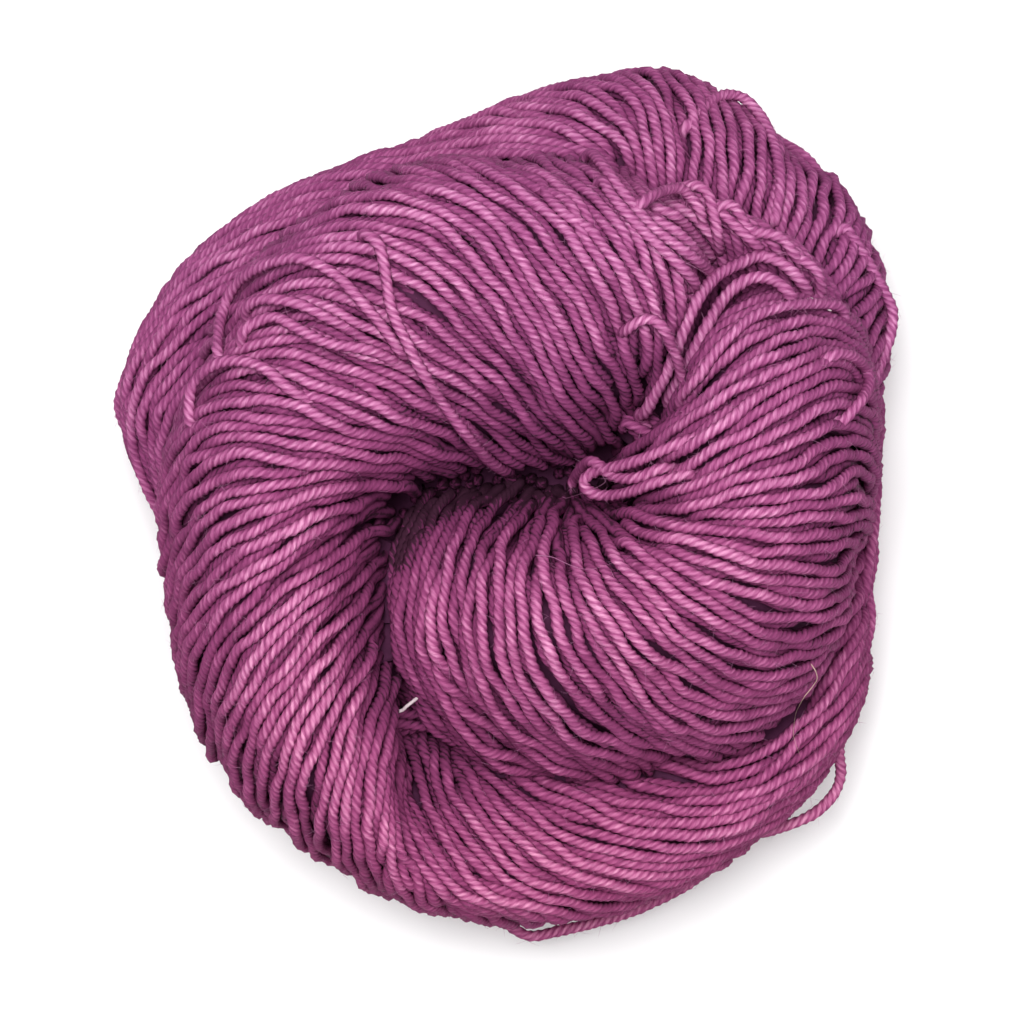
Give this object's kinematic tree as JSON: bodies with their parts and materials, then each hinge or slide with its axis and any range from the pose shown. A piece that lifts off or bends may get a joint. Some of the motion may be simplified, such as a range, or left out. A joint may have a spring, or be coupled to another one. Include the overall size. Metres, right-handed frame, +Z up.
{
  "type": "yarn hank",
  "caption": "Hank of plied wool yarn twisted up and coiled into a round nest, its overlapping lobes of strands diving into one dark fold at the centre.",
  "frame": {"origin": "on the resting face, under the middle of the picture", "axes": "+Z up out of the face with the centre fold, +Y towards the picture's top edge, +X towards its right edge"},
  "size_m": [0.134, 0.1483, 0.09],
  "materials": {
    "yarn": "matte plied wool, plum with lighter and darker stretches"
  },
  "bodies": {
    "root": {"hank": "yarn"}
  },
  "joints": []
}
